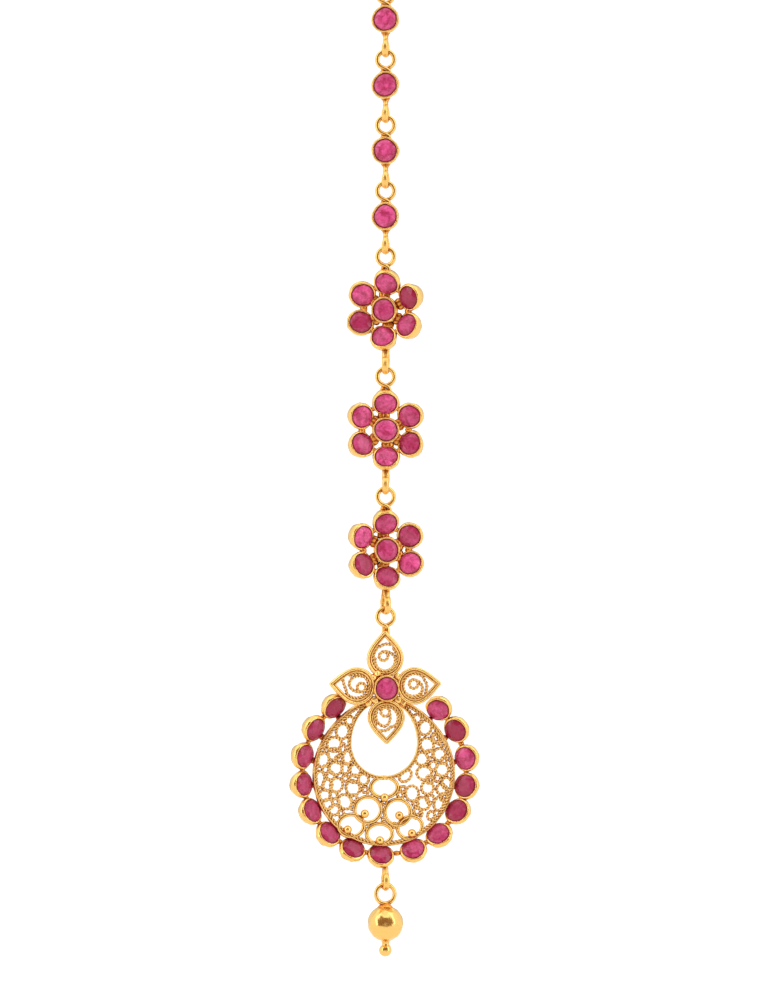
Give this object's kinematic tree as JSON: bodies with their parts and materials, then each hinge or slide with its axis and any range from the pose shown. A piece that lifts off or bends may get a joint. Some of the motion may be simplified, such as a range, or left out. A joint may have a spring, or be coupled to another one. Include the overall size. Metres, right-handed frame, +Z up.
{
  "type": "maang tikka",
  "caption": "Forehead ornament on a hair hook: a chain of single-stone links and ruby flowers with a pierced filigree crescent pendant, a ruby border and a ball drop.",
  "frame": {"origin": "the inside of the hair hook's crown, where a lock of hair carries the ornament", "axes": "+Z up along the hanging line, -Y the front that shows, +X the viewer's right"},
  "size_m": [0.0255, 0.0077, 0.1447],
  "materials": {
    "gold": "polished",
    "ruby": "polished"
  },
  "bodies": {
    "chain": {"hair_hook": "gold", "chain_link_1": "gold", "link_stone_1": "ruby", "chain_link_2": "gold", "link_stone_2": "ruby", "chain_link_3": "gold", "link_stone_3": "ruby", "chain_link_4": "gold", "link_stone_4": "ruby", "flower_setting_1": "gold", "flower_1_stone_0": "ruby", "flower_1_stone_1": "ruby", "flower_1_stone_2": "ruby", "flower_1_stone_3": "ruby", "flower_1_stone_4": "ruby", "flower_1_stone_5": "ruby", "flower_1_stone_6": "ruby", "flower_setting_2": "gold", "flower_2_stone_0": "ruby", "flower_2_stone_1": "ruby", "flower_2_stone_2": "ruby", "flower_2_stone_3": "ruby", "flower_2_stone_4": "ruby", "flower_2_stone_5": "ruby", "flower_2_stone_6": "ruby", "flower_setting_3": "gold", "flower_3_stone_0": "ruby", "flower_3_stone_1": "ruby", "flower_3_stone_2": "ruby", "flower_3_stone_3": "ruby", "flower_3_stone_4": "ruby", "flower_3_stone_5": "ruby", "flower_3_stone_6": "ruby"},
    "pendant": {"pendant_frame": "gold", "pendant_stone": "ruby", "border_stone_01": "ruby", "border_stone_02": "ruby", "border_stone_03": "ruby", "border_stone_04": "ruby", "border_stone_05": "ruby", "border_stone_06": "ruby", "border_stone_07": "ruby", "border_stone_08": "ruby", "border_stone_09": "ruby", "border_stone_10": "ruby", "border_stone_11": "ruby", "border_stone_12": "ruby", "border_stone_13": "ruby", "border_stone_14": "ruby", "border_stone_15": "ruby", "ball_drop": "gold"}
  },
  "joints": [
    {"name": "pendant_swing", "type": "hinge", "parent": "chain", "child": "pendant", "pos_m": [0, 0, -0.09739], "axis": [-0.2924, 0.9563, 0], "range_deg": [-75, 75]}
  ]
}
